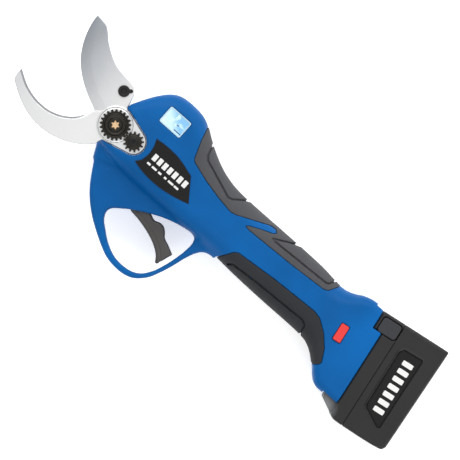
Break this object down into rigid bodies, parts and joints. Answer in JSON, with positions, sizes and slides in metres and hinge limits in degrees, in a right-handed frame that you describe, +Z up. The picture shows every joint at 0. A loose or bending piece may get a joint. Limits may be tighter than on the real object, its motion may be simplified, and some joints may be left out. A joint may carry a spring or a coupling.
{
  "type": "cordless electric pruner",
  "caption": "Cordless bypass pruner: motor-driven moving blade, fixed hook blade, finger trigger in a hand guard, moulded handle and a plug-in battery.",
  "frame": {"origin": "middle of the underside, with the tool lying flat on its right side", "axes": "+X along the handle from the blades to the battery, +Y to the back of the hand, +Z up through the tool's thickness, to the side with the adjusting nut"},
  "size_m": [0.3772, 0.1278, 0.0493],
  "materials": {
    "blue_housing": "satin moulded nylon",
    "grip_rubber": "matte soft grip",
    "front_grip_rubber": "matte soft grip",
    "label_black": "semi-gloss film",
    "blade_steel": "ground",
    "hook_steel": "satin ground",
    "cover_steel": "bright ground",
    "black_steel": "black oxide, machined",
    "frame_aluminium": "die cast",
    "gear_steel": "machined",
    "bronze": "machined bronze",
    "screw_steel": "black zinc",
    "bearing_steel": "polished",
    "motor_steel": "black coated",
    "copper": "enamelled copper and laminations",
    "magnet": "nickel plated",
    "circuit_board": "solder mask",
    "lead_insulation": "silicone",
    "display_glass": "backlit lens",
    "red_rocker": "moulded",
    "black_plastic": "fine texture",
    "battery_plastic": "fine spark texture",
    "latch_plastic": "fine texture",
    "cell_wrap": "shrink sleeve",
    "nickel": "nickel strip",
    "spring_steel": "drawn wire"
  },
  "bodies": {
    "tool": {"housing_left": "blue_housing", "housing_right": "blue_housing", "back_grip_left": "grip_rubber", "back_grip_right": "grip_rubber", "front_grip_left": "front_grip_rubber", "front_grip_right": "front_grip_rubber", "side_label": "label_black", "housing_screws": "screw_steel", "fixed_blade": "hook_steel", "head_frame": "frame_aluminium", "blade_mount_screws": "screw_steel", "pivot_bolt": "black_steel", "pivot_bush": "bronze", "thrust_washer": "bronze", "gear_cover_plate": "cover_steel", "lock_gear_screw": "black_steel", "output_bearings": "bearing_steel", "ring_gear": "gear_steel", "motor_front_plate": "frame_aluminium", "motor_can": "motor_steel", "motor_stator": "copper", "motor_bearings": "bearing_steel", "motor_leads": "lead_insulation", "control_board": "circuit_board", "trigger_pin": "spring_steel", "trigger_spring": "spring_steel", "trigger_board": "circuit_board", "display_module": "circuit_board", "display_lens": "display_glass", "switch_body": "black_plastic", "terminal_block": "black_plastic"},
    "blade": {"moving_blade": "blade_steel", "bevel_sector": "gear_steel", "blade_drive_screw": "screw_steel"},
    "adjusting_nut": {"pivot_gear_nut": "black_steel"},
    "locking_gear": {"lock_gear": "black_steel"},
    "output_shaft": {"bevel_pinion": "gear_steel", "output_carrier": "gear_steel"},
    "input_stage": {"input_carrier": "gear_steel"},
    "rotor": {"sun_gear": "gear_steel", "motor_rotor": "magnet", "motor_shaft": "bearing_steel"},
    "finger_trigger": {"trigger": "black_plastic"},
    "rocker": {"power_rocker": "red_rocker"},
    "battery": {"battery_collar": "battery_plastic", "battery_case": "battery_plastic", "battery_cells": "cell_wrap", "battery_board": "circuit_board", "battery_contacts": "nickel", "battery_label": "label_black", "latch_spring_left": "spring_steel", "latch_spring_right": "spring_steel"},
    "left_latch": {"latch_button_left": "latch_plastic"},
    "right_latch": {"latch_button_right": "latch_plastic"},
    "output_planet_1": {"output_planet_1": "gear_steel"},
    "input_planet_1": {"input_planet_1": "gear_steel"},
    "output_planet_2": {"output_planet_2": "gear_steel"},
    "input_planet_2": {"input_planet_2": "gear_steel"},
    "output_planet_3": {"output_planet_3": "gear_steel"},
    "input_planet_3": {"input_planet_3": "gear_steel"}
  },
  "joints": [
    {"name": "blade_swing", "type": "hinge", "parent": "tool", "child": "blade", "pos_m": [-0.11103, 0.01333, 0.032], "axis": [0, 0, 1], "range_deg": [0, 52]},
    {"name": "nut_turn", "type": "hinge", "parent": "tool", "child": "adjusting_nut", "pos_m": [-0.11103, 0.01333, 0.0441], "axis": [0, 0, 1], "range_deg": [-40, 40]},
    {"name": "lock_turn", "type": "hinge", "parent": "tool", "child": "locking_gear", "pos_m": [-0.09324, 0.01283, 0.0441], "axis": [0, 0, 1], "range_deg": [-65, 65]},
    {"name": "output_spin", "type": "hinge", "parent": "tool", "child": "output_shaft", "pos_m": [-0.08103, 0.01333, 0.021], "axis": [1, 0, 0], "range_deg": [-157, 1]},
    {"name": "input_spin", "type": "hinge", "parent": "tool", "child": "input_stage", "pos_m": [-0.06103, 0.01333, 0.021], "axis": [1, 0, 0], "range_deg": [-785, 5]},
    {"name": "rotor_spin", "type": "hinge", "parent": "tool", "child": "rotor", "pos_m": [-0.03103, 0.01333, 0.021], "axis": [1, 0, 0], "range_deg": [-3925, 25]},
    {"name": "trigger_pull", "type": "hinge", "parent": "tool", "child": "finger_trigger", "pos_m": [-0.06703, -0.01667, 0.024], "axis": [0, 0, 1], "range_deg": [0, 12], "stiffness_Nm_per_rad": 0.5, "deforming": ["trigger_spring"]},
    {"name": "rocker_tilt", "type": "hinge", "parent": "tool", "child": "rocker", "pos_m": [0.10938, 0.00911, 0.0466], "axis": [0.9877, 0.1564, 0], "range_deg": [0, 12]},
    {"name": "battery_slide", "type": "slide", "parent": "tool", "child": "battery", "axis": [0.9877, 0.1564, 0], "range_m": [0, 0.04]},
    {"name": "left_latch_press", "type": "slide", "parent": "battery", "child": "left_latch", "axis": [0, 0, -1], "range_m": [0, 0.002], "stiffness_N_per_m": 800, "deforming": ["latch_spring_left"]},
    {"name": "right_latch_press", "type": "slide", "parent": "battery", "child": "right_latch", "axis": [0, 0, 1], "range_m": [0, 0.002], "stiffness_N_per_m": 800, "deforming": ["latch_spring_right"]},
    {"name": "output_planet_1_spin", "type": "hinge", "parent": "output_shaft", "child": "output_planet_1", "pos_m": [-0.06603, 0.02158, 0.021], "axis": [1, 0, 0], "range_deg": [-5, 421]},
    {"name": "input_planet_1_spin", "type": "hinge", "parent": "input_stage", "child": "input_planet_1", "pos_m": [-0.05603, 0.02158, 0.021], "axis": [1, 0, 0], "range_deg": [-5, 2085]},
    {"name": "output_planet_2_spin", "type": "hinge", "parent": "output_shaft", "child": "output_planet_2", "pos_m": [-0.06603, 0.00921, 0.02814], "axis": [1, 0, 0], "range_deg": [-5, 421]},
    {"name": "input_planet_2_spin", "type": "hinge", "parent": "input_stage", "child": "input_planet_2", "pos_m": [-0.05603, 0.00921, 0.02814], "axis": [1, 0, 0], "range_deg": [-5, 2085]},
    {"name": "output_planet_3_spin", "type": "hinge", "parent": "output_shaft", "child": "output_planet_3", "pos_m": [-0.06603, 0.00921, 0.01385], "axis": [1, 0, 0], "range_deg": [-5, 421]},
    {"name": "input_planet_3_spin", "type": "hinge", "parent": "input_stage", "child": "input_planet_3", "pos_m": [-0.05603, 0.00921, 0.01385], "axis": [1, 0, 0], "range_deg": [-5, 2085]}
  ],
  "couplings": [
    {"joint": "lock_turn", "follows": "nut_turn", "ratio": -1.6154},
    {"joint": "output_spin", "follows": "blade_swing", "ratio": -3},
    {"joint": "input_spin", "follows": "blade_swing", "ratio": -15},
    {"joint": "rotor_spin", "follows": "blade_swing", "ratio": -75},
    {"joint": "output_planet_1_spin", "follows": "blade_swing", "ratio": 8},
    {"joint": "input_planet_1_spin", "follows": "blade_swing", "ratio": 40},
    {"joint": "output_planet_2_spin", "follows": "blade_swing", "ratio": 8},
    {"joint": "input_planet_2_spin", "follows": "blade_swing", "ratio": 40},
    {"joint": "output_planet_3_spin", "follows": "blade_swing", "ratio": 8},
    {"joint": "input_planet_3_spin", "follows": "blade_swing", "ratio": 40}
  ]
}
